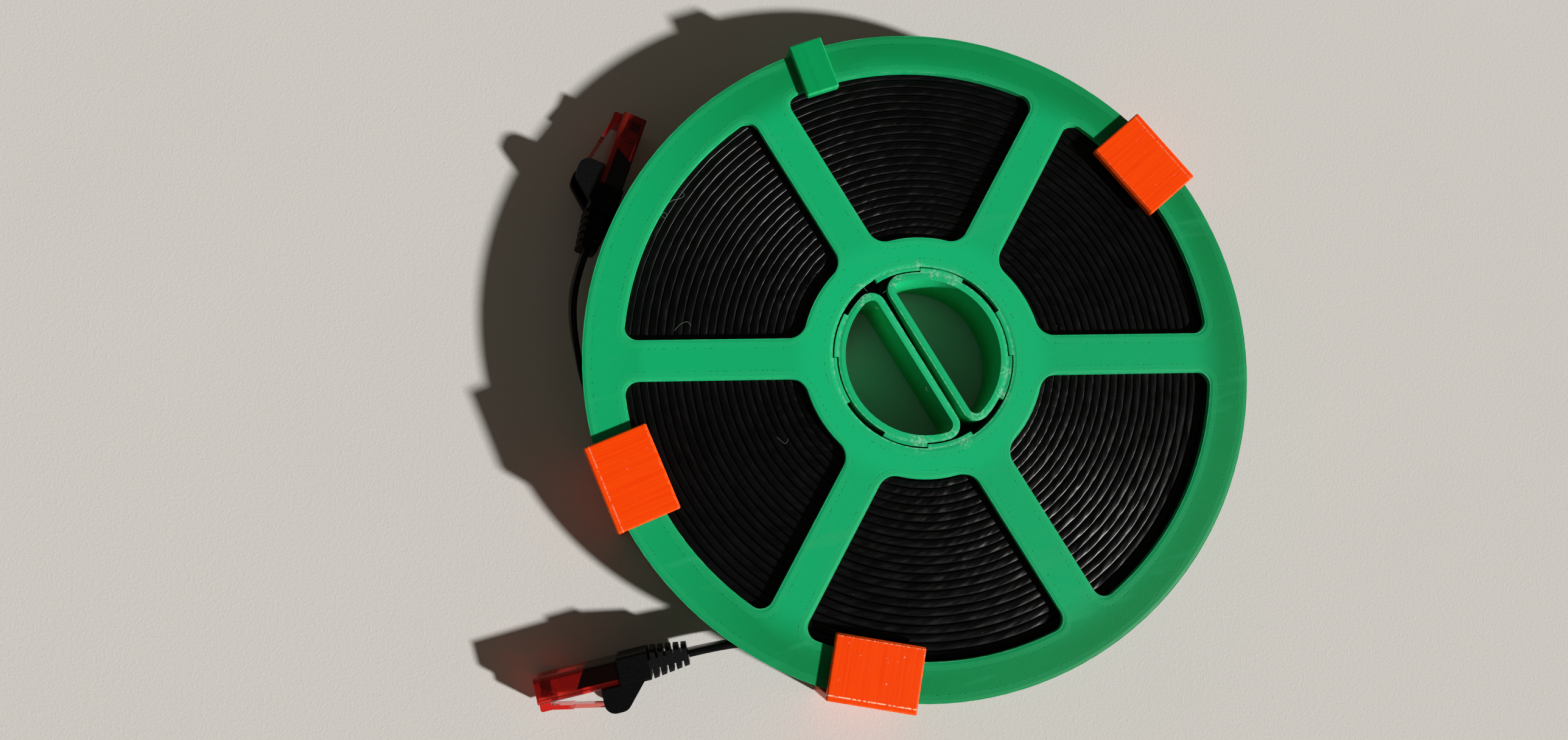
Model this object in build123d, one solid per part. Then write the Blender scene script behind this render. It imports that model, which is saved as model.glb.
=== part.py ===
"""Printed cable reel lying flat, with a flat network cable wound on it and its two plugs beside it.

Millimetres, +Z up. The origin is on the reel's axis, on the surface that the reel lies on.
"""
import os
from math import cos, radians, sin, tan

from build123d import *

# Flanges
reel_radius = 90.0
flange_thickness = 1.8
rim_width = 10.5
spoke_width = 10.7
spoke_count = 6
hub_ring_radius = 32.6
window_outer_corner = 3.5
window_inner_corner = 5.0

# Hub: two D-shaped tubes with a slot between them
hub_radius = 23.0
hub_wall = 1.9
hub_slot = 1.9
hub_corner = 4.0
hub_slot_angle = 120.0

# Bayonet between hub and top flange, angles in degrees
bayonet_count = 4
bayonet_depth = 1.1
bayonet_clearance = 0.45
hub_tab_start = -29.5
hub_tab_span = 29.0
flange_tab_start = 0.0
flange_tab_span = 30.0

# Clips over the rim
clip_plate = 2.1
clip_wall = 1.9
clip_back_round = 0.6
clip_nose_bevel = 0.5
clip_clearance = 0.05
wide_clip_width = 23.6
wide_clip_reach = 15.2
wide_clip_angles = {"clip_right": 39.4, "clip_left": 201.5, "clip_front": 258.5}
narrow_clip_width = 9.4
narrow_clip_reach = 13.0
narrow_clip_angle = 108.6

# Flat cable, wound on edge in two layers
cable_width = 7.4
cable_thickness = 1.75
cable_edge = 0.4
layer_count = 2
layer_headroom = 0.4
turn_pitch = 2.23
turn_groove = 0.6
coil_fill_share = 0.904
coil_clearance = 0.4
coil_lift = 0.15

# Free cable ends: route points chosen by hand, from the plug's boot to the coil, as shares of the radius
front_tail_shares = [(-0.708, -0.84), (-0.6, -0.818), (-0.478, -0.818), (-0.356, -0.855), (-0.237, -0.894),
                     (0.0, -0.925), (0.237, -0.894), (0.35, -0.856)]
side_tail_shares = [(-0.996, 0.358), (-1.027, 0.269), (-1.037, 0.161), (-1.02, 0.039), (-0.989, -0.094),
                    (-0.933, -0.228), (-0.868, -0.363), (-0.775, -0.501), (-0.651, -0.651)]
front_plug_roll = 3.0
front_plug_pitch = 2.3
side_plug_height = 8.5
side_tail_fall_angle = 117.0
side_plug_roll = -15.0
arc_share = 0.45

# Modular plug: X from its nose to its rear, Y towards its latch, Z across its width
plug_length = 21.5
plug_width = 11.7
plug_height = 6.6
plug_edge = 0.4
plug_bay_length = 11.2
plug_bay_width = 9.8
plug_bay_height = 4.5
plug_bay_shift = -0.5
plug_bay_slant = 2.6
latch_root_length = 3.0
latch_root_rise = 2.3
latch_thickness = 1.1
latch_tip = 17.0
latch_rise = 5.3
latch_width = 6.2
latch_tip_width = 3.4
latch_shoulder = 8.3
contact_count = 8
contact_pitch = 1.02
contact_thickness = 0.35
contact_length = 5.2
contact_depth = 3.0
contact_setback = 0.8
contact_recess = 0.4
contact_clearance = 0.06

# Moulded boot behind the plug
boot_fit = 0.05
boot_length = 7.9
boot_width = 12.8
boot_height = 7.6
boot_edge = 0.8
fin_thickness = 2.6
fin_front = 16.4
fin_rear = 27.8
fin_top = 9.9
fin_lift = 0.1
fin_corner = 2.9
relief_length = 10.2
relief_base_height = 7.8
relief_base_width = 11.2
relief_end_height = 5.3
relief_end_width = 8.6
relief_corner = 0.9
relief_rib_count = 5
relief_slot = 0.68
relief_spine = 2.4
core_clearance = 0.15

# Places worked out from the sizes above
overrun = 1.0
base_bottom = clip_plate + clip_clearance
base_top = base_bottom + flange_thickness
coil_bottom = base_top + coil_lift
coil_top = coil_bottom + layer_count * cable_width
lid_bottom = base_top + layer_count * cable_width + layer_headroom
lid_top = lid_bottom + flange_thickness
clip_height = lid_top + clip_clearance + clip_plate
window_outer_radius = reel_radius - rim_width
hub_tab_radius = hub_radius + bayonet_depth
lid_tab_radius = hub_radius + bayonet_clearance
lid_opening_radius = hub_tab_radius + bayonet_clearance
coil_inner = hub_radius + coil_clearance
turn_count = round((coil_fill_share * reel_radius - coil_inner) / turn_pitch)
covered_turns = int((hub_ring_radius - coil_inner) / turn_pitch)
seen_turns = min(turn_count - 1, int((window_outer_radius - coil_inner) / turn_pitch))
boot_front = plug_length + boot_fit
relief_front = boot_front + boot_length
boot_end = relief_front + relief_length


def ring_sector(inner, outer, start, span):
    """Flat piece of a ring between two radii, from a start angle over a span."""
    near = CenterArc((0, 0), inner, start, span)
    far = CenterArc((0, 0), outer, start, span)
    return make_face([near, far, Line(near @ 0, far @ 0), Line(near @ 1, far @ 1)])


def around(shape, count):
    """The shape repeated about Z, count times to a full turn."""
    return [Rot(0, 0, index * 360 / count) * shape for index in range(count)]


def windows():
    """Openings between rim, spokes and hub ring, with rounded corners."""
    spoke = Pos(reel_radius / 2, 0) * Rectangle(reel_radius, spoke_width)
    open_ring = Circle(window_outer_radius) - Circle(hub_ring_radius)
    open_ring -= around(spoke, spoke_count)
    middle = (window_outer_radius + hub_ring_radius) / 2
    inner = open_ring.vertices().filter_by(lambda v: Vector(v.X, v.Y).length < middle)
    open_ring = fillet(inner, window_inner_corner)
    corner_line = window_outer_radius - window_outer_corner
    outer = open_ring.vertices().filter_by(lambda v: Vector(v.X, v.Y).length > corner_line)
    return fillet(outer, window_outer_corner)


def hub_outline():
    """Outer outline of one D-shaped tube, on the side of the slot that faces +X before it is turned."""
    half = Pos(hub_radius + hub_slot / 2, 0) * Rectangle(2 * hub_radius, 2 * hub_radius)
    outline = Circle(hub_radius) & half
    return fillet(outline.vertices(), hub_corner)


def slot_turn():
    """Turn that lays the slot, drawn along Y, on its angle."""
    return Rot(0, 0, hub_slot_angle - 90)


def hub_hollows():
    """Open insides of the two D-shaped tubes."""
    hollow = slot_turn() * offset(hub_outline(), -hub_wall)
    return around(hollow, 2)


def base():
    """Lower flange with the two tubes of the hub and their bayonet tabs."""
    plate = Circle(reel_radius) - windows()
    tube = slot_turn() * hub_outline()
    tab = ring_sector(hub_radius - hub_wall / 2, hub_tab_radius, hub_tab_start, hub_tab_span)
    body = Pos(0, 0, base_bottom) * extrude(plate, flange_thickness)
    body += [Pos(0, 0, base_bottom) * extrude(t, lid_top - base_bottom) for t in around(tube, 2)]
    body += [Pos(0, 0, lid_bottom) * extrude(t, flange_thickness) for t in around(tab, bayonet_count)]
    drop = Pos(0, 0, base_bottom - overrun)
    return body - [drop * extrude(h, clip_height + overrun) for h in hub_hollows()]


def top_flange():
    """Upper flange, a loose lid whose tabs pass between those of the hub."""
    tab = ring_sector(lid_tab_radius, hub_ring_radius, flange_tab_start, flange_tab_span)
    plate = Circle(reel_radius) - windows() - Circle(lid_opening_radius)
    plate += around(tab, bayonet_count)
    return Pos(0, 0, lid_bottom) * extrude(plate, flange_thickness)


def clip(width, reach, angle):
    """C-shaped clip that holds both flanges at the rim."""
    back = reel_radius + clip_clearance + clip_wall
    nose = reel_radius - reach
    length = back - nose
    inside = length - clip_wall
    block = Pos(nose + length / 2, 0, clip_height / 2) * Box(length, width, clip_height)
    back_edges = block.edges().filter_by(Axis.Y).filter_by(lambda e: e.center().X > reel_radius)
    block = fillet(back_edges, clip_back_round)
    nose_edges = block.edges().filter_by(Axis.Y).filter_by(lambda e: e.center().X < reel_radius - reach / 2)
    block = chamfer(nose_edges, clip_nose_bevel)
    gap = Box(inside + overrun, width + overrun, clip_height - 2 * clip_plate)
    return Rot(0, 0, angle) * (block - Pos(nose + (inside - overrun) / 2, 0, clip_height / 2) * gap)


def coil():
    """Wound cable as one turned solid, with the stretch that crosses the hub slot.

    The turns show on both ends, but for those that the hub rings and the rims cover.
    """
    steps = [0, *range(covered_turns * 2, seen_turns * 2 + 1), turn_count * 2]
    ridges = [(coil_inner + step * turn_pitch / 2, turn_groove * (1 - step % 2)) for step in steps]
    top = [(radius, coil_top - dip) for radius, dip in ridges]
    bottom = [(radius, coil_bottom + dip) for radius, dip in reversed(ridges)]
    outline = make_face(Polyline(*top, *bottom, close=True))
    body = revolve(Plane.XZ * outline, Axis.Z)
    crossing_length = 2 * coil_inner + turn_pitch
    crossing = slot_turn() * Pos(0, 0, layer_middle(0)) * Box(cable_thickness, crossing_length, cable_width)
    return body + crossing


def layer_middle(index):
    """Height of the middle of a layer of the winding, counted from below."""
    return coil_bottom + (index + 1 / 2) * cable_width


def level_route(shares, height):
    """Route points at one height."""
    return [Vector(u * reel_radius, v * reel_radius, height) for u, v in shares]


def falling_route(shares, start_height, end_height, angle):
    """Route points on a plane that slopes along an angle, and that plane's upward normal."""
    level = level_route(shares, start_height)
    along = Vector(cos(radians(angle)), sin(radians(angle)), 0)
    runs = [(level[0] - point).dot(along) for point in level]
    slope = (end_height - start_height) / runs[-1]
    points = [point + Vector(0, 0, slope * run) for point, run in zip(level, runs)]
    return points, (along * slope + Vector(0, 0, 1)).normalized()


def route_radii(points):
    """Largest even radius at each corner of a route."""
    radii = []
    for before, here, after in zip(points, points[1:], points[2:]):
        turn = (here - before).get_angle(after - here)
        run = min((here - before).length, (after - here).length)
        radii.append(arc_share * run / tan(radians(turn / 2)))
    return radii


def tail(points, upright):
    """Free end of the flat cable, on edge, along its route."""
    radii = route_radii(points)
    print("tail radii", [round(r, 1) for r in radii])
    path = FilletPolyline(*points, radius=radii)
    start = Plane(path @ 0, x_dir=upright, z_dir=path % 0)
    flat = Rectangle(cable_width, cable_thickness)
    section = start * chamfer(flat.vertices(), cable_edge)
    body = sweep(section, path=path)
    volume_share = body.volume / section.area / path.length
    print("tail length", round(path.length, 2), "volume share", round(volume_share, 4))
    return body


def latch():
    """Springy tongue on the plug: wide at its root, narrow past the shoulder that locks it."""
    face = plug_height / 2
    foot = face - plug_edge
    root = face + latch_root_rise
    tip = face + latch_rise
    side = make_face(Polyline(
        (0, foot), (0, root - plug_edge), (plug_edge, root), (latch_root_length, root), (latch_tip, tip),
        (latch_tip, tip - latch_thickness), (latch_root_length, root - latch_thickness),
        (latch_root_length, foot), close=True))
    wide = extrude(side, latch_width / 2, both=True)
    cheek = Box(latch_tip, latch_rise * 2, latch_width)
    cheek_shift = (latch_width + latch_tip_width) / 2
    for way in (-1, 1):
        wide -= Pos(latch_shoulder + latch_tip / 2, tip, way * cheek_shift) * cheek
    return wide


def contact_places():
    """Across-width places of the contact blades."""
    return [(index - (contact_count - 1) / 2) * contact_pitch for index in range(contact_count)]


def contact_blade(clearance):
    """One contact blade, or the slot for it where a clearance is given."""
    length = contact_length + 2 * clearance
    height = contact_depth + clearance
    middle = contact_setback + contact_length / 2
    blade = Box(length, height, contact_thickness + 2 * clearance)
    return Pos(middle, -plug_height / 2 + contact_recess + height / 2, 0) * blade


def bay(clearance):
    """Hollow in the plug's rear that the cable enters, or what fills it where a clearance is given."""
    front = plug_length - plug_bay_length + clearance
    slope = plug_bay_slant * (1 - 2 * clearance / plug_bay_height)
    rear = plug_length + boot_fit
    half = plug_bay_height / 2 - clearance
    outline = Polyline((front + slope, -half), (rear, -half), (rear, half), (front, half), close=True)
    depth = plug_bay_width / 2 - clearance
    return Pos(0, plug_bay_shift, 0) * extrude(make_face(outline), depth, both=True)


def plug():
    """Clear modular plug with its latch, contact slots and the bay that the cable enters."""
    block = Pos(plug_length / 2, 0, 0) * Box(plug_length, plug_height, plug_width)
    block = chamfer(block.edges().filter_by(Axis.X), plug_edge)
    block -= bay(0)
    block += latch()
    mouth = Box(contact_length, contact_recess + overrun, contact_thickness)
    mouth_y = -plug_height / 2 + (contact_recess - overrun) / 2
    for place in contact_places():
        block -= Pos(0, 0, place) * contact_blade(contact_clearance)
        block -= Pos(contact_setback + contact_length / 2, mouth_y, place) * mouth
    return block


def contacts():
    """The row of contact blades."""
    return Part() + [Pos(0, 0, place) * contact_blade(0) for place in contact_places()]


def fin():
    """Rounded guard beside the latch."""
    root = plug_height / 2 + fin_lift
    length = fin_rear - fin_front
    rise = fin_top - root
    shape_shares = [(0, 0), (0, 1), (0.49, 1), (1, 0)]
    outline = Polyline(*[(fin_front + u * length, root + v * rise) for u, v in shape_shares], close=True)
    face = make_face(outline)
    rounded = face.vertices().filter_by(lambda v: v.Y > root + rise / 4)
    return extrude(fillet(rounded, fin_corner), fin_thickness / 2, both=True)


def relief_body():
    """Tapered strain relief before its slots are cut."""
    front = Plane((relief_front, 0, 0), x_dir=(0, 1, 0), z_dir=(1, 0, 0))
    rear = Plane((boot_end, 0, 0), x_dir=(0, 1, 0), z_dir=(1, 0, 0))
    first = Rectangle(relief_base_height, relief_base_width)
    last = Rectangle(relief_end_height, relief_end_width)
    sections = [chamfer(flat.vertices(), relief_corner) for flat in (first, last)]
    return loft([front * sections[0], rear * sections[1]], ruled=True)


def relief():
    """Strain relief whose slots, cut in from two sides, leave ribs on a spine."""
    pitch = relief_length / relief_rib_count
    depth = (relief_base_height - relief_spine) / 2 + overrun
    slot = Box(relief_slot, depth, relief_base_width + overrun)
    body = relief_body()
    for index in range(relief_rib_count):
        middle = relief_front + relief_slot / 2 + index * pitch
        for way in (-1, 1):
            body -= Pos(middle, way * (relief_spine + depth) / 2, 0) * slot
    return body


def boot():
    """Moulded boot: block behind the plug, guards beside the latch, strain relief and inner core."""
    block = Pos(boot_front + boot_length / 2, 0, 0) * Box(boot_length, boot_height, boot_width)
    block = fillet(block.edges().filter_by(Axis.X), boot_edge)
    body = block + relief()
    for way in (-1, 1):
        body += Pos(0, 0, way * (boot_width - fin_thickness) / 2) * fin()
    return body + bay(core_clearance)


def plug_frame(points, upright, roll, pitch):
    """Frame of a plug whose boot ends where a cable route starts, its nose lowered by the pitch."""
    rearward = (points[1] - points[0]).normalized()
    level = Plane(points[0], x_dir=rearward, z_dir=-upright)
    setback = cable_width / 2 * sin(radians(pitch))
    return level.location * Rot(roll, 0, 0) * Rot(0, pitch, 0) * Pos(-boot_end - setback, 0, 0)


def cable_end(name, points, upright, roll, pitch=0):
    """All pieces of one free cable end, by node name."""
    frame = plug_frame(points, upright, roll, pitch)
    return {f"{name}_tail": tail(points, upright),
            f"{name}_boot": frame * boot(),
            f"{name}_plug": frame * plug(),
            f"{name}_contacts": frame * contacts()}


def build():
    """Every piece of the object, by node name."""
    pieces = {"base": base(), "top_flange": top_flange(), "coil": coil()}
    for name, angle in wide_clip_angles.items():
        pieces[name] = clip(wide_clip_width, wide_clip_reach, angle)
    pieces["clip_narrow"] = clip(narrow_clip_width, narrow_clip_reach, narrow_clip_angle)
    front_points = level_route(front_tail_shares, layer_middle(0))
    pieces.update(cable_end("front", front_points, Vector(0, 0, 1), front_plug_roll, front_plug_pitch))
    side_points, side_up = falling_route(
        side_tail_shares, side_plug_height, layer_middle(layer_count - 1), side_tail_fall_angle)
    pieces.update(cable_end("side", side_points, side_up, side_plug_roll))
    return pieces


os.makedirs("parts", exist_ok=True)
for node, shape in build().items():
    export_step(shape, f"parts/{node}.step")
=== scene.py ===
"""Printed cable reel with a flat network cable, lying on a pale table top."""
import math

import bmesh
import bpy
from mathutils import Euler, Matrix, Vector, noise


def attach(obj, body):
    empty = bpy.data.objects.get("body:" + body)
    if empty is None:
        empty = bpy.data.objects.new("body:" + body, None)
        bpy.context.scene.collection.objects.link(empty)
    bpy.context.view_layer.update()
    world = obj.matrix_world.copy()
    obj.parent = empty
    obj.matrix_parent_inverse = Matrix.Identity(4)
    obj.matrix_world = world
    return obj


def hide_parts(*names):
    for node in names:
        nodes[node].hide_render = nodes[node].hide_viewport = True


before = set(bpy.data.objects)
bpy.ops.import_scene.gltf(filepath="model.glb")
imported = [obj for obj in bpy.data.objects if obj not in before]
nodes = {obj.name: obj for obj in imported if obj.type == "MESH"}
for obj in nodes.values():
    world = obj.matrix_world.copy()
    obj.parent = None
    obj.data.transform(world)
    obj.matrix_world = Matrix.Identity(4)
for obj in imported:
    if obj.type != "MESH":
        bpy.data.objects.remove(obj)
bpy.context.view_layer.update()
scene = bpy.context.scene
scene.view_settings.view_transform = "Standard"
MM = 0.001
UP = Vector((0, 0, 1))

# Camera at the photograph's place and angle, in millimetres and in degrees about X, Y and Z
CAMERA_PLACE = (-72.456, -49.546, 335.393)
CAMERA_TURN = (8.553, -6.0609, -1.8022)
SENSOR = 36.0
FOCAL_PIXELS = 2000
PHOTO_PIXELS = 2576
camera_data = bpy.data.cameras.new("camera")
camera_data.sensor_fit = "HORIZONTAL"
camera_data.sensor_width = SENSOR
camera_data.lens = SENSOR * FOCAL_PIXELS / PHOTO_PIXELS
camera = bpy.data.objects.new("camera", camera_data)
scene.collection.objects.link(camera)
camera_turn = Euler([math.radians(a) for a in CAMERA_TURN])
camera.matrix_world = Matrix.LocRotScale(Vector(CAMERA_PLACE) * MM, camera_turn, None)
scene.camera = camera

# Sizes of the reel's two flanges, in millimetres
REEL = 90.0
SPOKES = 6
SPOKE_HALF = 5.35
WINDOW_OUTER = 79.5
WINDOW_OUTER_CORNER = 3.5
HUB_RING = 32.6
WINDOW_INNER_CORNER = 5.0
LID_OPENING = 24.55
HUB = 23.0
HUB_WALL = 1.9
HUB_CORNER = 4.0
HUB_SLOT = 1.9
SLOT_ANGLE = math.radians(120)

# Clips over the rim; places in degrees
CLIP_PLACES = {"clip_right": 39.4, "clip_left": 201.5, "clip_front": 258.5}
CLIP_WEAR = {"clip_right": 0.2, "clip_left": 0.3, "clip_front": 0.85}
CLIP_WIDTH = 23.6
CLIP_NOSE = 74.8
CLIP_BACK = 91.95
CLIP_ROUND = 1.5
CLIP_BEVEL = 0.6
CLIP_EASE = 0.5
NARROW_PLACE = 108.6
NARROW_WIDTH = 9.4
NARROW_NOSE = 77.0

# Cable, its winding and its two plugs, in millimetres and radians
CABLE_HIGH = 7.2
CABLE_THICK = 1.75
TURN_THICK = 2.08
TURN_PITCH = 2.23
CORNER = 0.42
CROWN = 0.09
LAYER_MIDDLE = (7.8, 15.2)
SIDE_PLUG_HEIGHT = 8.5
SIDE_FALL = math.radians(117)
FRONT_PLUG_ROLL = math.radians(3.0)
FRONT_PLUG_PITCH = math.radians(2.3)
SIDE_PLUG_ROLL = math.radians(-15.0)
BOOT_END = 39.65
END_EXTRA = 0.15

# Edges that turn by more than this are shaded sharp
SHARP_FROM = math.radians(50)


def link_mesh(name, verts, faces, material):
    """New smooth mesh object in the scene that rides on the reel."""
    mesh = bpy.data.meshes.new(name)
    mesh.from_pydata(verts, [], faces)
    mesh.validate()
    mesh.polygons.foreach_set("use_smooth", [True] * len(mesh.polygons))
    mesh.set_sharp_from_angle(angle=SHARP_FROM)
    obj = bpy.data.objects.new(name, mesh)
    scene.collection.objects.link(obj)
    mesh.materials.append(material)
    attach(obj, "root")
    return obj


def cable_section(high, thick):
    """Outline of the flat cable, its corners rounded. First value across, second along its width."""
    half, side = high / 2, thick / 2
    corner = [(side - CORNER + CORNER * math.cos(a), half - CORNER + CORNER * math.sin(a))
              for a in [math.radians(d) for d in (0, 30, 60, 90)]]
    upper = corner + [(0.0, half + CROWN)] + [(-x, y) for x, y in reversed(corner)]
    return upper + [(-x, -y) for x, y in upper]


def heading(points, i):
    """Direction of a line of points at one of them."""
    return (points[min(i + 1, len(points) - 1)] - points[max(i - 1, 0)]).normalized()


def strip(points, ups, high, thicks):
    """Vertices and faces of a flat cable along points (mm), its width along ups, a thickness to each."""
    verts, faces = [], []
    count = len(cable_section(high, thicks[0]))
    for i, point in enumerate(points):
        along = heading(points, i)
        across = along.cross(ups[i]).normalized()
        up = across.cross(along)
        verts += [(point + across * u + up * v) * MM for u, v in cable_section(high, thicks[i])]
    for i in range(len(points) - 1):
        a, b = i * count, (i + 1) * count
        for j in range(count):
            k = (j + 1) % count
            faces.append((a + j, a + k, b + k, b + j))
    faces.append(tuple(range(count - 1, -1, -1)))
    last = (len(points) - 1) * count
    faces.append(tuple(range(last, last + count)))
    return verts, faces


def spline_points(route):
    """Points along the smooth line that has the route as its control points, in metres."""
    curve = bpy.data.curves.new("route", "CURVE")
    curve.dimensions = "3D"
    spline = curve.splines.new("NURBS")
    spline.points.add(len(route) - 1)
    for p, co in zip(spline.points, route):
        p.co = (*co, 1.0)
    spline.order_u = 3
    spline.use_endpoint_u = True
    spline.resolution_u = 12
    obj = bpy.data.objects.new("route", curve)
    scene.collection.objects.link(obj)
    mesh = bpy.data.meshes.new_from_object(obj)
    points = [v.co.copy() for v in mesh.vertices]
    bpy.data.objects.remove(obj)
    bpy.data.meshes.remove(mesh)
    bpy.data.curves.remove(curve)
    return points


class Shader:
    """Node tree of one material with short calls for its nodes."""

    def __init__(self, name, **sockets):
        self.material = bpy.data.materials.new(name)
        self.material.use_nodes = True
        self.tree = self.material.node_tree
        self.main = self.tree.nodes["Principled BSDF"]
        for key, value in sockets.items():
            self.main.inputs[key.replace("_", " ")].default_value = value
        scaled = self.tree.nodes.new("ShaderNodeVectorMath")
        scaled.operation = "SCALE"
        scaled.inputs["Scale"].default_value = 1 / MM
        self.plug(self.tree.nodes.new("ShaderNodeTexCoord").outputs["Object"], scaled.inputs[0])
        self.mm = scaled.outputs[0]
        split = self.tree.nodes.new("ShaderNodeSeparateXYZ")
        self.plug(self.mm, split.inputs[0])
        self.x, self.y, self.z = split.outputs
        normal = self.tree.nodes.new("ShaderNodeSeparateXYZ")
        self.plug(self.tree.nodes.new("ShaderNodeNewGeometry").outputs["Normal"], normal.inputs[0])
        self.normal_z = normal.outputs[2]

    def plug(self, value, socket):
        """Link a socket to another, or set its value."""
        if isinstance(value, bpy.types.NodeSocket):
            self.tree.links.new(value, socket)
        else:
            socket.default_value = value

    def math(self, kind, *values):
        made = self.tree.nodes.new("ShaderNodeMath")
        made.operation = kind
        for value, socket in zip(values, made.inputs):
            self.plug(value, socket)
        return made.outputs[0]

    def add(self, a, b):
        return self.math("ADD", a, b)

    def sub(self, a, b):
        return self.math("SUBTRACT", a, b)

    def mul(self, a, b):
        return self.math("MULTIPLY", a, b)

    def absolute(self, a):
        return self.math("ABSOLUTE", a)

    def hypot(self, a, b):
        return self.math("SQRT", self.add(self.mul(a, a), self.mul(b, b)))

    def towards(self, angle):
        """Coordinate in millimetres along a direction in plan."""
        return self.add(self.mul(self.x, math.cos(angle)), self.mul(self.y, math.sin(angle)))

    def level(self):
        """1 on faces that look up or down, 0 on the others."""
        return self.math("GREATER_THAN", self.absolute(self.normal_z), 0.5)

    def stretch(self, scale, turn=0.0):
        """Coordinates in millimetres, turned about Z and then scaled per axis."""
        turned = self.tree.nodes.new("ShaderNodeMapping")
        self.plug(self.mm, turned.inputs["Vector"])
        turned.inputs["Rotation"].default_value = (0, 0, turn)
        scaled = self.tree.nodes.new("ShaderNodeMapping")
        self.plug(turned.outputs[0], scaled.inputs["Vector"])
        scaled.inputs["Scale"].default_value = scale
        return scaled.outputs[0]

    def own_axes(self, matrix):
        """Coordinates in millimetres along a piece's own axes."""
        rows = [[self.mul(v, k) for v, k in zip((self.x, self.y, self.z), row)] for row in matrix]
        return [self.add(self.add(self.add(a, b), c), row[3]) for (a, b, c), row in zip(rows, matrix)]

    def noise(self, scale, detail=2.0, where=None, rough=0.5):
        made = self.tree.nodes.new("ShaderNodeTexNoise")
        self.plug(self.mm if where is None else where, made.inputs["Vector"])
        made.inputs["Scale"].default_value = scale
        made.inputs["Detail"].default_value = detail
        made.inputs["Roughness"].default_value = rough
        return made.outputs[0]

    def cells(self, scale, where=None):
        """Distance to scattered points."""
        made = self.tree.nodes.new("ShaderNodeTexVoronoi")
        self.plug(self.mm if where is None else where, made.inputs["Vector"])
        made.inputs["Scale"].default_value = scale
        return made.outputs["Distance"]

    def ramp(self, value, low, high, to_low=0.0, to_high=1.0):
        """Smooth step from one value to another."""
        made = self.tree.nodes.new("ShaderNodeMapRange")
        made.interpolation_type = "SMOOTHSTEP"
        for v, socket in zip((value, low, high, to_low, to_high), made.inputs):
            self.plug(v, socket)
        return made.outputs[0]

    def near(self, value, place, inside, outside):
        """1 within one distance of a place, falling to 0 at another."""
        return self.ramp(self.absolute(self.sub(value, place)), inside, outside, 1.0, 0.0)

    def lines(self, value, pitch):
        """Ridges, from 0 to 1, one to each pitch."""
        wave = self.math("SINE", self.mul(value, 2 * math.pi / pitch))
        return self.add(self.mul(wave, 0.5), 0.5)

    def mix(self, share, a, b):
        """Share of the way from one colour to another."""
        made = self.tree.nodes.new("ShaderNodeMix")
        made.data_type = "RGBA"
        self.plug(share, made.inputs[0])
        for value, socket in ((a, made.inputs[6]), (b, made.inputs[7])):
            self.plug((*value, 1.0) if isinstance(value, tuple) else value, socket)
        return made.outputs[2]

    def blend(self, share, a, b):
        """Share of the way from one number to another."""
        made = self.tree.nodes.new("ShaderNodeMix")
        for value, socket in zip((share, a, b), (made.inputs[0], made.inputs[2], made.inputs[3])):
            self.plug(value, socket)
        return made.outputs[0]

    def rounded(self, a, b, radius):
        """Distance to a corner of two edges that is rounded, from the distances to the edges."""
        wide = [self.add(v, radius) for v in (a, b)]
        out = [self.math("MAXIMUM", v, 0.0) for v in wide]
        length = self.hypot(*out)
        inside = self.math("MINIMUM", self.math("MAXIMUM", *wide), 0.0)
        return self.sub(self.add(length, inside), radius)

    def finish(self, color, roughness, height=None, depth=0.0, strength=0.0):
        """The material, with its colour, roughness and, if given, relief."""
        self.plug(color, self.main.inputs["Base Color"])
        self.plug(roughness, self.main.inputs["Roughness"])
        if height is not None:
            bump = self.tree.nodes.new("ShaderNodeBump")
            bump.inputs["Strength"].default_value = strength
            bump.inputs["Distance"].default_value = depth
            self.plug(height, bump.inputs["Height"])
            self.plug(bump.outputs[0], self.main.inputs["Normal"])
        return self.material


# Colours of the prints
GREEN = (0.002, 0.29, 0.08)
GREEN_INNER = (0.005, 0.505, 0.19)
GREEN_HUB = (0.006, 0.57, 0.225)
GREEN_PALE = (0.03, 0.47, 0.19)
GREEN_DEEP = (0.0015, 0.255, 0.066)
NARROW_GREEN = (0.002, 0.33, 0.096)
NARROW_GREEN_DEEP = (0.0018, 0.29, 0.078)
GREEN_RUBBED_AND_HIGHLIGHT = (0.2, 0.68, 0.42)
ORANGE = (0.985, 0.066, 0.001)
ORANGE_PALE = (1.0, 0.16, 0.014)
ORANGE_DEEP = (0.93, 0.046, 0.0008)
CLIP_WHITENED = (1.0, 0.74, 0.52)
# Print lines, in millimetres: their pitch, the direction of the hatching, the height of a layer, how far the
# lines follow an edge, and the pitch of a dotted line on the hub
LINE_PITCH = 0.4
HATCH = (0.225, 0.974)
LAYER = 0.24
CLIP_LAYER = 0.34
LOOPS = 2.1
DOT_PITCH = 0.62
# Where the green print changes, in millimetres; a pair is where a change starts and where it is complete
PALE_RADII = (78.0, 90.0)
PALE_SIDE = (-75.0, -20.0)
HUB_PALE_RADII = (30.0, 37.0)
HUB_SHADED = (4.0, 17.0)
HUB_EDGE = 1.3
LIPS_REACH = 4.5
DOTTED_HALF = (15.0, 15.5)
DROOP_REACH = 1.0
# Places on the hub's top and the lid's opening where pale marks are painted, in millimetres, with their
# radius; they stand for scuffing and painted glints
SCUFF_AND_GLINT_PLACES = ((-6.6, 20.6, 3.2), (4.0, 22.4, 2.4), (8.9, 21.0, 3.4), (-15.1, 15.4, 4.0), (5.9, -20.6, 3.2),
          (-2.1, -22.4, 4.2), (13.9, -15.8, 3.6), (22.2, -4.6, 2.6), (20.8, -10.6, 2.8), (-0.4, 24.4, 2.2),
          (-16.1, 18.8, 1.8), (9.9, -22.8, 2.6))


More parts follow.
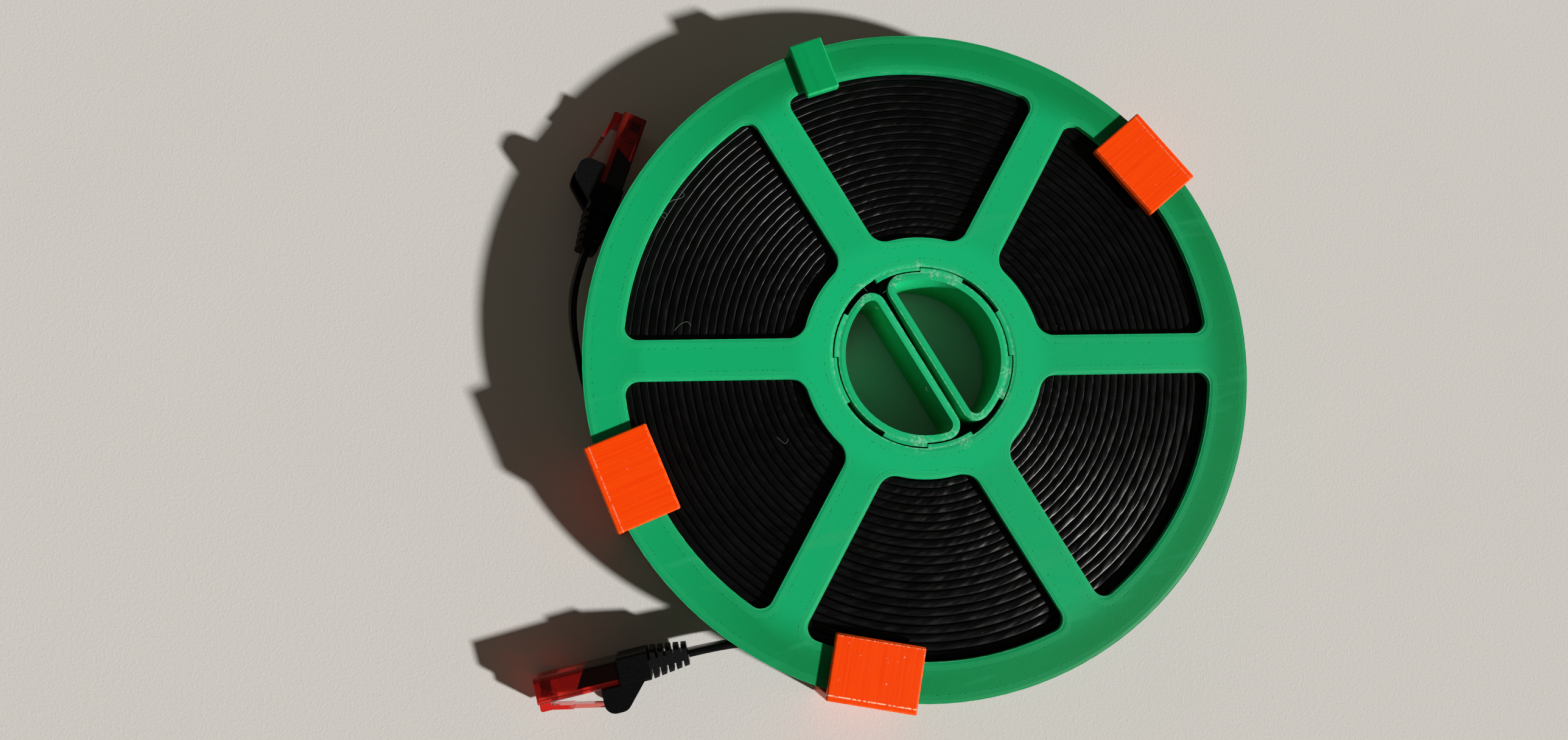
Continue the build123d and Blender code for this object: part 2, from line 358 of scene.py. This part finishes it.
def edge_distance(s, opening):
    """Distance in the flange's plane to its nearest edge: rim, window or middle opening."""
    radius = s.hypot(s.x, s.y)
    turn = s.math("PINGPONG", s.math("ARCTAN2", s.y, s.x), math.pi / SPOKES)
    spoke = s.sub(SPOKE_HALF, s.mul(radius, s.math("SINE", turn)))
    outer = s.rounded(spoke, s.sub(radius, WINDOW_OUTER), WINDOW_OUTER_CORNER)
    inner = s.rounded(spoke, s.sub(HUB_RING, radius), WINDOW_INNER_CORNER)
    window = s.math("MAXIMUM", outer, inner)
    rim = s.sub(REEL, radius)
    nearest = s.math("MINIMUM", window, rim)
    return radius, s.math("MINIMUM", nearest, s.sub(radius, opening))


def green_flange(name, opening):
    """Green print whose lines follow the edges of a flange, with hatching between them."""
    s = Shader(name, Specular_IOR_Level=0.16, Diffuse_Roughness=0.4)
    radius, edge = edge_distance(s, opening)
    # On the hub, the edges are those of its two tubes; a dotted line runs along the straight wall of one
    across, along = s.towards(SLOT_ANGLE - math.pi / 2), s.towards(SLOT_ANGLE)
    wall = s.rounded(s.sub(HUB_SLOT / 2, s.absolute(across)), s.sub(radius, HUB), HUB_CORNER)
    dotted = s.mul(s.near(across, -(HUB_SLOT + HUB_WALL) / 2, 0.1, 0.3), s.near(along, 0.0, *DOTTED_HALF))
    dotted = s.mul(dotted, s.ramp(s.lines(along, DOT_PITCH), 0.35, 0.8))
    on_hub = s.math("LESS_THAN", radius, HUB + HUB_EDGE)
    edge = s.blend(on_hub, edge, s.absolute(wall))
    wander = s.mul(s.sub(s.noise(0.35), 0.5), 0.25)
    inset = s.add(edge, wander)
    band = s.ramp(inset, LOOPS, LOOPS + 0.15, 1.0, 0.0)
    loops = s.lines(edge, LINE_PITCH)
    hatch = s.lines(s.add(s.mul(s.x, HATCH[0]), s.mul(s.y, HATCH[1])), LINE_PITCH)
    print_lines = s.blend(band, hatch, loops)
    flat = s.level()
    relief = s.blend(flat, s.lines(s.z, LAYER), print_lines)
    # Pits where the hatching meets the loops, and smears
    ring = s.near(inset, LOOPS + 0.2, 0.08, 0.26)
    pits = s.mul(s.mul(ring, s.ramp(s.cells(1.25), 0.22, 0.42, 1.0, 0.0)), flat)
    smear = s.mul(s.ramp(s.noise(0.16, 4.0, s.stretch((0.16, 1.0, 1.0), -0.23)), 0.6, 0.76), flat)
    broad = s.noise(0.035, 3.0)
    color = s.mix(s.ramp(broad, 0.3, 0.7), GREEN_DEEP, GREEN)
    # The green is paler towards the middle, on the spokes and the hub ring, and towards one side of the rim;
    # down inside the hub it stays darker, as painted shade
    inner = s.ramp(s.add(radius, s.mul(broad, 9.0)), *PALE_RADII, 1.0, 0.0)
    one_side = s.ramp(s.add(s.x, s.mul(broad, 20.0)), *PALE_SIDE, 1.0, 0.0)
    inner = s.math("MAXIMUM", inner, s.mul(one_side, 0.8))
    # Painted shade: below the hub's top the green stays darker, down inside its tubes
    top = s.ramp(s.z, *HUB_SHADED)
    inner = s.mul(inner, s.blend(on_hub, 1.0, top))
    color = s.mix(s.mul(inner, 0.85), color, GREEN_INNER)
    color = s.mix(s.mul(s.ramp(radius, *HUB_PALE_RADII, 0.6, 0.0), top), color, GREEN_HUB)
    # In the band where the loops run the green is paler and its lines stronger: print, with a painted sheen
    # on the band
    color = s.mix(s.mul(relief, s.add(0.07, s.mul(band, 0.08))), color, GREEN_PALE)
    color = s.mix(s.mul(band, 0.14), color, GREEN_PALE)
    # Painted shade: the pits are coloured darker
    color = s.mix(s.mul(pits, 0.4), color, (0.001, 0.12, 0.03))
    color = s.mix(s.mul(smear, 0.4), color, GREEN_PALE)
    # Paler edges: wear, and a painted highlight along them
    wear_and_highlight = s.mul(s.ramp(edge, 0.0, 0.3, 1.0, 0.0), s.ramp(s.noise(0.5, 3.0), 0.42, 0.68))
    color = s.mix(s.mul(wear_and_highlight, s.add(0.06, s.mul(flat, 0.44))), color, (0.13, 0.62, 0.34))
    # Ragged pale edging round the hub's tubes and the lid's opening: rough print with a painted highlight
    # along it
    pale_edging_and_highlight = s.mul(s.ramp(edge, 0.1, 0.6, 1.0, 0.0), s.ramp(s.noise(0.9, 4.0, rough=0.6), 0.44, 0.6))
    pale_edging_and_highlight = s.mul(s.mul(pale_edging_and_highlight, s.math("LESS_THAN", radius, HUB + LIPS_REACH)), s.mul(flat, top))
    color = s.mix(s.mul(pale_edging_and_highlight, 0.55), color, GREEN_RUBBED_AND_HIGHLIGHT)
    # Pale marks at the places listed: scuffing, and painted glints
    rubbed = 0.0
    for mark_x, mark_y, reach in SCUFF_AND_GLINT_PLACES:
        away = s.hypot(s.sub(s.x, mark_x), s.sub(s.y, mark_y))
        rubbed = s.math("MAXIMUM", rubbed, s.ramp(away, reach * 0.2, reach, 1.0, 0.0))
    ragged = s.noise(1.1, 5.0, rough=0.65)
    scuffs_and_glints = s.mul(s.mul(rubbed, s.ramp(ragged, 0.46, 0.62)), flat)
    color = s.mix(s.mul(scuffs_and_glints, 0.7), color, (0.34, 0.7, 0.48))
    color = s.mix(s.mul(s.mul(dotted, on_hub), s.mul(flat, 0.45)), color, (0.16, 0.62, 0.36))
    rough = s.add(0.38, s.mul(s.noise(0.6, 3.0), 0.16))
    height = s.add(s.mul(relief, s.add(0.55, s.mul(band, 0.25))), s.add(s.mul(pits, -1.6), s.noise(1.4, 2.0)))
    height = s.add(height, s.mul(s.mul(rubbed, ragged), 5.0))
    # The top layer droops at the edges
    height = s.sub(height, s.mul(s.mul(s.ramp(edge, 0.0, DROOP_REACH, 1.0, 0.0), flat), 7.0))
    return s.finish(color, rough, height, depth=0.00004, strength=0.5)


def eased_clip(name, angle, look):
    """A clip's CAD mesh again, with the edges of its two sides eased."""
    shape = bmesh.new()
    shape.from_mesh(nodes[name].data)
    bmesh.ops.remove_doubles(shape, verts=shape.verts[:], dist=1e-7)
    bmesh.ops.dissolve_limit(shape, angle_limit=math.radians(0.5), verts=shape.verts[:], edges=shape.edges[:])
    aside = Vector((-math.sin(angle), math.cos(angle), 0))
    edges = [e for e in shape.edges if sum(abs(f.normal.dot(aside)) > 0.9 for f in e.link_faces) == 1]
    bmesh.ops.bevel(shape, geom=edges, offset=CLIP_EASE * MM, offset_type="OFFSET", segments=3, profile=0.5,
                    affect="EDGES", clamp_overlap=True)
    mesh = bpy.data.meshes.new(f"{name}_eased")
    shape.to_mesh(mesh)
    shape.free()
    mesh.materials.append(look)
    piece = bpy.data.objects.new(f"{name}_eased", mesh)
    scene.collection.objects.link(piece)
    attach(piece, "root")
    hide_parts(name)


def clip_print(name, angle, width, nose, back, tones, wear):
    """Print of a clip, whose lines run from its nose to its back, paler along its edges from wear and a
    painted highlight.
    """
    deep, plain, pale = tones
    s = Shader(name, Specular_IOR_Level=0.12)
    out, side = s.towards(angle), s.towards(angle + math.pi / 2)
    from_nose, from_back = s.sub(out, nose), s.sub(back, out)
    edge = s.math("MINIMUM", from_nose, from_back)
    edge = s.math("MINIMUM", edge, s.sub(width / 2, s.absolute(side)))
    flat = s.level()
    layers = s.lines(s.add(side, s.mul(s.noise(0.12), 0.12)), CLIP_LAYER)
    streaks = s.noise(1.0, 3.0, s.stretch((0.035, 1.5, 0.035), -angle))
    color = s.mix(s.ramp(streaks, 0.2, 0.6), deep, plain)
    color = s.mix(s.mul(layers, 0.03), color, pale)
    # Paler edges: wear, and a painted highlight along them
    wear_and_highlight = s.mul(s.ramp(edge, 0.05, 0.6, 1.0, 0.0), s.ramp(s.noise(0.7, 3.0), 0.3, 0.65))
    color = s.mix(s.mul(wear_and_highlight, s.add(0.1, s.mul(flat, 0.5))), color, pale)
    specks = s.ramp(s.cells(0.5, s.stretch((1.0, 1.0, 0.0))), 0.06, 0.14, 1.0, 0.0)
    marks = s.mul(s.mul(specks, s.ramp(s.noise(0.3), 0.46, 0.6)), s.mul(flat, wear))
    color = s.mix(s.mul(marks, 0.65), color, tuple(min(1.0, v * 0.4 + 0.55) for v in pale))
    scuffs = s.ramp(s.noise(0.42, 5.0, s.stretch((1.0, 0.3, 1.0), 0.9 - angle), 0.6), 0.66, 0.75)
    color = s.mix(s.mul(scuffs, 0.35), color, pale)
    # Broken white lines where the plates turn down at the back and the nose
    broken = s.noise(1.3, 3.0, rough=0.6)
    back_line = s.mul(s.near(from_back, CLIP_ROUND, 0.08, 0.24), s.ramp(broken, 0.42, 0.52))
    nose_line = s.mul(s.near(from_nose, CLIP_BEVEL, 0.06, 0.2), s.ramp(broken, 0.5, 0.58, 0.0, 0.5))
    dashes = s.math("MAXIMUM", back_line, nose_line)
    color = s.mix(s.mul(dashes, wear), color, CLIP_WHITENED)
    rough = s.add(0.3, s.mul(s.noise(0.8, 3.0), 0.2))
    height = s.add(s.add(s.mul(layers, 0.12), s.mul(streaks, 0.7)), s.add(scuffs, s.mul(marks, 2.0)))
    return s.finish(color, rough, height, depth=0.00004, strength=0.55)


def cable_jacket():
    """Near-black jacket, satin, with faint dust and rubbed places."""
    s = Shader("cable_jacket_black", Specular_IOR_Level=0.22)
    broad = s.noise(0.09, 3.0)
    color = s.mix(s.ramp(broad, 0.3, 0.7), (0.0009, 0.0009, 0.0011), (0.0018, 0.0018, 0.0021))
    rubbed = s.ramp(s.noise(0.5, 4.0, rough=0.62), 0.6, 0.76)
    color = s.mix(s.mul(rubbed, 0.3), color, (0.009, 0.009, 0.0098))
    specks = s.mul(s.ramp(s.cells(0.42), 0.0, 0.045, 1.0, 0.0), s.ramp(s.noise(0.11, 2.0), 0.56, 0.62))
    color = s.mix(s.mul(specks, 0.8), color, (0.32, 0.32, 0.31))
    # Waves across the cable, from the twisted pairs inside it
    turn = s.tree.nodes.new("ShaderNodeCombineXYZ")
    radius = s.hypot(s.x, s.y)
    s.plug(s.add(s.mul(s.math("ARCTAN2", s.y, s.x), 11.0), s.mul(radius, 0.3)), turn.inputs[0])
    s.plug(s.mul(radius, 0.3), turn.inputs[1])
    waves = s.noise(1.0, 1.0, turn.outputs[0])
    rough = s.add(0.2, s.add(s.mul(s.noise(0.35, 3.0), 0.12), s.mul(waves, 0.16)))
    height = s.add(s.add(s.noise(0.4, 2.0), s.mul(s.noise(2.6, 2.0), 0.25)), s.mul(waves, 8.5))
    return s.finish(color, rough, height, depth=0.00014, strength=0.4)


def boot_black():
    """Moulded black with a fine spark-eroded grain and pale specks."""
    s = Shader("boot_moulded_black", Specular_IOR_Level=0.15)
    grain = s.noise(2.6, 3.0, rough=0.6)
    color = s.mix(s.ramp(grain, 0.35, 0.7), (0.0008, 0.0008, 0.001), (0.0022, 0.0022, 0.0026))
    specks = s.mul(s.ramp(s.cells(0.8), 0.0, 0.06, 1.0, 0.0), s.ramp(s.noise(0.5, 1.0), 0.5, 0.58))
    color = s.mix(s.mul(specks, 0.8), color, (0.28, 0.28, 0.27))
    rough = s.add(0.34, s.mul(grain, 0.2))
    return s.finish(color, rough, grain, depth=0.00008, strength=0.6)


def plug_axes(route, up, roll, pitch):
    """Matrix from the reel's millimetres to a plug's own: back from its nose, to its latch, across it."""
    back = (route[-2] - route[-1]).normalized()
    axes = Matrix((back, back.cross(up), -up)).transposed().to_4x4()
    setback = CABLE_HIGH / 2 * math.sin(pitch)
    turned = axes @ Matrix.Rotation(roll, 4, "X") @ Matrix.Rotation(pitch, 4, "Y")
    placed = Matrix.Translation(route[-1] / MM) @ turned @ Matrix.Translation((-BOOT_END - setback, 0, 0))
    return placed.inverted()[:3]


# Places on a plug in millimetres, back from its nose, up to its latch or across it; a pair is where something
# starts and where it is complete
CHEEK_ACROSS = (5.2, 5.5)
LATCH_UP, LATCH_BACK = (3.7, 4.1), (6.5, 9.0)
FAR_EDGE_UP = (-2.4, -2.0)
LEDGE_UP, LEDGE_BACK = 2.05, (10.6, 11.4)
REAR_UP, REAR_TOP, REAR_BACK = (1.9, 2.3), (3.6, 3.9), (14.8, 15.3)
PATCH_UP, PATCH_BACK = -0.4, 2.8
PATCH_HALF_HIGH, PATCH_HALF_LONG = (1.8, 2.0), (1.3, 1.5)
CORE_BACK, CORE_SLOPE, CORE_TOP = 11.3, 0.58, (1.6, 1.85)


def plug_red(name, axes):
    """Clear red plastic, paler in the thin latch, dark where the cable end shows through, with painted shade
    over the contact slots and along the far edge of the sides and a painted highlight along the step in its
    sides.
    """
    s = Shader(name, Transmission_Weight=0.9, IOR=1.5)
    back, up, width = s.own_axes(axes)
    cheek = s.ramp(s.absolute(width), *CHEEK_ACROSS)
    ragged = s.mul(s.sub(s.noise(1.6, 3.0), 0.5), 1.2)
    color = s.mix(s.noise(0.25, 2.0), (0.94, 0.022, 0.018), (0.98, 0.045, 0.035))
    latch = s.mul(s.ramp(up, *LATCH_UP), s.ramp(back, *LATCH_BACK))
    color = s.mix(s.mul(latch, 0.5), color, (0.96, 0.5, 0.44))
    # Painted shade: a dark strip along the far edge of the sides, where the thin wall shows the shadowed
    # table
    far_edge_shade = s.mul(cheek, s.ramp(up, *FAR_EDGE_UP, 1.0, 0.0))
    color = s.mix(s.mul(far_edge_shade, 0.7), color, (0.06, 0.008, 0.006))
    # Painted highlight: a bright red line along the step in the sides, towards the nose
    step_highlight = s.mul(s.near(up, LEDGE_UP, 0.1, 0.25), s.ramp(back, *LEDGE_BACK, 1.0, 0.0))
    color = s.mix(s.mul(s.mul(step_highlight, cheek), 0.6), color, (1.0, 0.2, 0.1))
    rear_wall = s.mul(s.ramp(up, *REAR_UP), s.ramp(back, *REAR_BACK))
    color = s.mix(s.mul(rear_wall, s.ramp(up, *REAR_TOP, 0.6, 0.0)), color, (0.2, 0.004, 0.004))
    # Painted shade: a dark spot over the contact slots near the nose
    contact_slot_shade = s.mul(s.near(back, PATCH_BACK, *[s.add(reach, ragged) for reach in PATCH_HALF_LONG]),
                  s.near(up, PATCH_UP, *[s.add(reach, ragged) for reach in PATCH_HALF_HIGH]))
    color = s.mix(s.mul(contact_slot_shade, 0.72), color, (0.05, 0.004, 0.004))
    core_front = s.add(s.sub(CORE_BACK, s.mul(up, CORE_SLOPE)), s.mul(ragged, 0.3))
    core = s.mul(s.ramp(s.sub(back, core_front), -0.1, 0.15), s.ramp(up, *CORE_TOP, 1.0, 0.0))
    color = s.mix(s.mul(core, 0.97), color, (0.004, 0.0015, 0.0015))
    rough = s.add(0.03, s.mul(s.noise(1.2, 2.0), 0.08))
    return s.finish(color, rough, s.noise(0.6, 1.0), depth=0.00005, strength=0.12)


def pale_string():
    """Fine pulled string of the green print, pale because it is so thin."""
    s = Shader("green_print_string", Specular_IOR_Level=0.5)
    return s.finish(s.mix(s.noise(0.8), (0.1, 0.21, 0.15), (0.22, 0.3, 0.26)), 0.3)


def contact_gold():
    """Gold-plated blades, their tone and roughness varying at random."""
    s = Shader("contact_gold_plate", Metallic=1.0)
    color = s.mix(s.ramp(s.noise(0.8, 2.0), 0.35, 0.7), (0.5, 0.3, 0.09), (0.85, 0.58, 0.24))
    return s.finish(color, s.add(0.2, s.mul(s.noise(2.0), 0.15)))


def table_top():
    """Pale matt table top with a faint unevenness."""
    s = Shader("table_top_pale", Specular_IOR_Level=0.0)
    broad = s.noise(0.012, 3.0)
    color = s.mix(broad, (0.618, 0.61, 0.588), (0.645, 0.636, 0.614))
    grain = s.add(s.noise(0.8, 4.0), s.mul(s.ramp(s.noise(1.6, 1.0), 0.5, 0.75), 0.5))
    return s.finish(color, 0.9, grain, depth=0.00025, strength=0.14)


jacket = cable_jacket()

# Free cable ends: the route's points as shares of the reel's radius, from the coil to the boot
front_shares = ((0.35, -0.856), (0.237, -0.894), (0.0, -0.925), (-0.237, -0.894), (-0.356, -0.855),
                (-0.478, -0.818), (-0.6, -0.818), (-0.708, -0.84))
side_shares = ((-0.651, -0.651), (-0.775, -0.501), (-0.868, -0.363), (-0.933, -0.228), (-0.989, -0.094),
               (-1.02, 0.039), (-1.037, 0.161), (-1.027, 0.269), (-0.996, 0.358))
front_route = [Vector((u * REEL, v * REEL, LAYER_MIDDLE[0])) * MM for u, v in front_shares]
# The side end also falls from the upper layer to its plug
fall = Vector((math.cos(SIDE_FALL), math.sin(SIDE_FALL), 0))
side_level = [Vector((u * REEL, v * REEL, SIDE_PLUG_HEIGHT)) for u, v in side_shares]
side_slope = (LAYER_MIDDLE[1] - SIDE_PLUG_HEIGHT) / (side_level[-1] - side_level[0]).dot(fall)
side_route = [(p + Vector((0, 0, side_slope * (side_level[-1] - p).dot(fall)))) * MM for p in side_level]
side_up = Vector((fall.x * side_slope, fall.y * side_slope, 1.0)).normalized()

for end, route, up, roll in (("front", front_route, UP, FRONT_PLUG_ROLL),
                             ("side", side_route, side_up, SIDE_PLUG_ROLL)):
    line = spline_points(route)
    # The second half of each end twists to its plug's roll
    ups = []
    for i in range(len(line)):
        along = heading(line, i)
        share = max(0.0, min(1.0, (i / (len(line) - 1) - 0.5) / 0.5))
        twist = roll * share * share * (3 - 2 * share)
        ups.append(up * math.cos(twist) + up.cross(along) * math.sin(twist))
    verts, faces = strip([p / MM for p in line], ups, CABLE_HIGH + END_EXTRA, [CABLE_THICK] * len(line))
    piece = link_mesh(f"{end}_cable_end", verts, faces, jacket)
    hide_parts(f"{end}_tail")


# Winding: steps along the hub slot and again round its corner, radians over which the turns loosen from the
# inner and the outer end, their tilt in degrees, their rise and sink in millimetres, and the lengths in
# millimetres over which these wander
START_STEPS = 8
LOOSEN_IN, LOOSEN_OUT = 1.5, 0.8
TILT_BROAD, TILT_FINE, TILT_ALONG = 2.4, 1.3, 1.6
RISE, SINK = 0.11, 0.02
BROAD_LENGTH, ALONG_LENGTH, RISE_LENGTH = 15, 60, 34


def winding(name, layer, slot_angle, end, step, seed):
    """One layer of the wound cable, from the middle of the hub slot out to where its free end leaves."""
    middle = LAYER_MIDDLE[layer]
    centre_across = HUB_SLOT / 2 + HUB_CORNER
    centre_along = math.sqrt((HUB - HUB_CORNER) ** 2 - centre_across ** 2)
    along = Vector((math.cos(slot_angle), math.sin(slot_angle), 0))
    across = Vector((math.sin(slot_angle), -math.cos(slot_angle), 0))
    lean = math.atan2(centre_across, centre_along)
    points = []
    half_rise = (LAYER_MIDDLE[1] - LAYER_MIDDLE[0]) / 2 * (1 if layer else -1)
    between = sum(LAYER_MIDDLE) / 2
    for i in range(START_STEPS + 1):
        share = i / START_STEPS
        points.append(along * (centre_along * share) + Vector((0, 0, between + half_rise * share)))
    centre = across * centre_across + along * centre_along
    for i in range(1, START_STEPS + 1):
        a = math.pi - i / START_STEPS * (math.pi / 2 + lean)
        points.append(centre + across * (centre_across * math.cos(a)) + along * (centre_across * math.sin(a))
                      + Vector((0, 0, middle)))
    ups = [UP] * len(points)
    thicks = [CABLE_THICK] * len(points)
    start = points[-1]
    r_in, r_out = math.hypot(start.x, start.y), math.hypot(end.x, end.y) / MM
    theta = math.atan2(start.y, start.x)
    part_turn = (theta - math.atan2(end.y, end.x)) % (2 * math.pi)
    span = part_turn + 2 * math.pi * round((r_out - r_in) / TURN_PITCH - part_turn / (2 * math.pi))
    done = 0.0
    length = 0.0
    while done < span:
        radius = r_in + (r_out - r_in) * done / span
        done = min(done + step / radius, span)
        radius = r_in + (r_out - r_in) * done / span
        outward = Vector((math.cos(theta - done), math.sin(theta - done), 0))
        length += step
        ease = min(1.0, done / LOOSEN_IN, (span - done) / LOOSEN_OUT)
        spot = outward * (radius / BROAD_LENGTH) + Vector((0, 0, seed))
        tilt = TILT_BROAD * noise.noise(spot) + TILT_FINE * noise.noise(spot * 3.3)
        tilt = ease * math.radians(tilt + TILT_ALONG * noise.noise(Vector((length / ALONG_LENGTH, seed, 0))))
        lift = ease * (RISE * noise.noise(Vector((length / RISE_LENGTH, seed + 8.1, 5.0))) - SINK)
        points.append(outward * radius + Vector((0, 0, middle + lift)))
        ups.append(UP * math.cos(tilt) + outward * math.sin(tilt))
        thicks.append(CABLE_THICK + (TURN_THICK - CABLE_THICK) * ease)
    verts, faces = strip(points, ups, CABLE_HIGH, thicks)
    piece = link_mesh(name, verts, faces, jacket)
    return piece


winding("winding_lower", 0, SLOT_ANGLE + math.pi, front_route[0], step=3.6, seed=3.3)
upper = winding("winding_upper", 1, SLOT_ANGLE, side_route[0], step=2.4, seed=17.9)
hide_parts("coil")

# Clips
oranges = (ORANGE_DEEP, ORANGE, ORANGE_PALE)
for clip_name, degrees in CLIP_PLACES.items():
    turn = math.radians(degrees)
    look = clip_print(f"orange_{clip_name}", turn, CLIP_WIDTH, CLIP_NOSE, CLIP_BACK, oranges,
                      CLIP_WEAR[clip_name])
    eased_clip(clip_name, turn, look)
greens = (NARROW_GREEN_DEEP, NARROW_GREEN, GREEN_PALE)
turn = math.radians(NARROW_PLACE)
look = clip_print("green_clip_narrow", turn, NARROW_WIDTH, NARROW_NOSE, CLIP_BACK, greens, 0.0)
eased_clip("clip_narrow", turn, look)

# Materials of the CAD pieces
looks = {"base": green_flange("green_print_base", 0.0),
         "top_flange": green_flange("green_print_lid", LID_OPENING)}
front_axes = plug_axes(front_route, UP, FRONT_PLUG_ROLL, FRONT_PLUG_PITCH)
looks["front_plug"] = plug_red("plug_clear_red_front", front_axes)
side_axes = plug_axes(side_route, side_up, SIDE_PLUG_ROLL, 0.0)
looks["side_plug"] = plug_red("plug_clear_red_side", side_axes)
boot_look, contact_look = boot_black(), contact_gold()
for end in ("front", "side"):
    looks[f"{end}_boot"] = boot_look
    looks[f"{end}_contacts"] = contact_look
for node, look in looks.items():
    obj = nodes[node]
    if not obj.material_slots:
        obj.data.materials.append(look)
    for place in obj.material_slots:
        place.material = look

# Fine strings that the print left, in millimetres; each starts on the print or lies on the turns
STRINGS = (((-69.6, 40.4, 19.4), (-68.8, 39.7, 19.1), (-68.2, 40.2, 19.3), (-67.4, 39.6, 19.2),
            (-67.7, 38.6, 18.95), (-68.7, 38.9, 19.0), (-69.2, 39.9, 19.2)),
           ((-68.9, 41.0, 19.6), (-68.0, 41.8, 19.3), (-67.0, 42.9, 19.1), (-65.4, 43.8, 18.95),
            (-63.6, 43.9, 19.2), (-62.3, 45.3, 19.1), (-63.6, 46.0, 18.9)),
           ((-66.0, 8.2, 18.8), (-65.0, 9.5, 19.0), (-63.7, 10.3, 19.2), (-62.1, 10.6, 19.1),
            (-61.7, 9.3, 18.8)),
           ((-39.7, -20.5, 18.8), (-38.8, -21.4, 19.0), (-38.0, -22.3, 18.95), (-37.2, -22.1, 19.1),
            (-36.8, -21.0, 18.8)),
           ((1.5, -7.8, 20.1), (0.7, -7.7, 20.0), (0.35, -8.4, 19.9), (0.6, -9.2, 19.8), (1.2, -9.1, 20.0)),
           ((-12.5, 13.6, 20.5), (-12.1, 13.2, 20.4), (-11.7, 13.4, 20.3), (-11.2, 13.5, 20.5)),
           ((-10.3, 17.4, 20.6), (-9.9, 17.8, 20.5), (-9.5, 18.0, 20.6), (-9.0, 17.9, 20.5)),
           ((-7.0, 17.7, 20.5), (-6.4, 17.4, 20.3), (-6.0, 17.6, 20.2), (-5.5, 17.5, 20.4)),
           ((-15.3, 18.9, 20.7), (-14.9, 18.3, 20.6), (-14.6, 18.1, 20.4), (-14.3, 17.9, 20.5)))
STRING_RADIUS = 0.04
STRING_SIDES = 5
verts, faces = [], []
for way in STRINGS:
    line = spline_points([Vector(p) * MM for p in way])
    first = len(verts)
    for i, point in enumerate(line):
        along = heading(line, i)
        across = along.cross(UP).normalized()
        up = across.cross(along)
        verts += [point + (across * math.cos(a) + up * math.sin(a)) * (STRING_RADIUS * MM)
                  for a in [k * 2 * math.pi / STRING_SIDES for k in range(STRING_SIDES)]]
    for i in range(len(line) - 1):
        row = first + i * STRING_SIDES
        for k in range(STRING_SIDES):
            m = (k + 1) % STRING_SIDES
            faces.append((row + k, row + m, row + STRING_SIDES + m, row + STRING_SIDES + k))
    faces.append(tuple(range(first + STRING_SIDES - 1, first - 1, -1)))
    faces.append(tuple(range(len(verts) - STRING_SIDES, len(verts))))
strings = link_mesh("print_strings", verts, faces, pale_string())

# Table top, in metres, a hair below the reel, and light
TABLE_SIZE = 60.0
TABLE_DROP = 0.0001
bpy.ops.mesh.primitive_plane_add(size=TABLE_SIZE, location=(0, 0, -TABLE_DROP))
table = bpy.context.object
table.name = "table"
table.data.materials.append(table_top())

key_data = bpy.data.lights.new("key", "SUN")
key_data.angle = math.radians(3.5)
key_data.energy = 5.17
key_data.color = (1.0, 0.98, 0.95)
key = bpy.data.objects.new("key", key_data)
scene.collection.objects.link(key)
light_from = Vector((1.40, -0.81, 1.0)).normalized()
key.location = light_from
key.rotation_euler = light_from.to_track_quat("Z", "Y").to_euler()

world = bpy.data.worlds.new("studio")
scene.world = world
world.use_nodes = True
# Soft light all round, brightest low down, so that the dark ceiling keeps black pieces black
sky = world.node_tree.nodes["Background"]
sky.inputs["Strength"].default_value = 1.0
way = world.node_tree.nodes.new("ShaderNodeTexCoord")
height = world.node_tree.nodes.new("ShaderNodeSeparateXYZ")
world.node_tree.links.new(way.outputs["Generated"], height.inputs[0])
tone = world.node_tree.nodes.new("ShaderNodeValToRGB")
tone.color_ramp.elements[0].position = 0.0
tone.color_ramp.elements[0].color = (0.29, 0.234, 0.176, 1.0)
tone.color_ramp.elements[1].position = 0.75
tone.color_ramp.elements[1].color = (0.044, 0.038, 0.032, 1.0)
world.node_tree.links.new(height.outputs[2], tone.inputs[0])
world.node_tree.links.new(tone.outputs[0], sky.inputs["Color"])
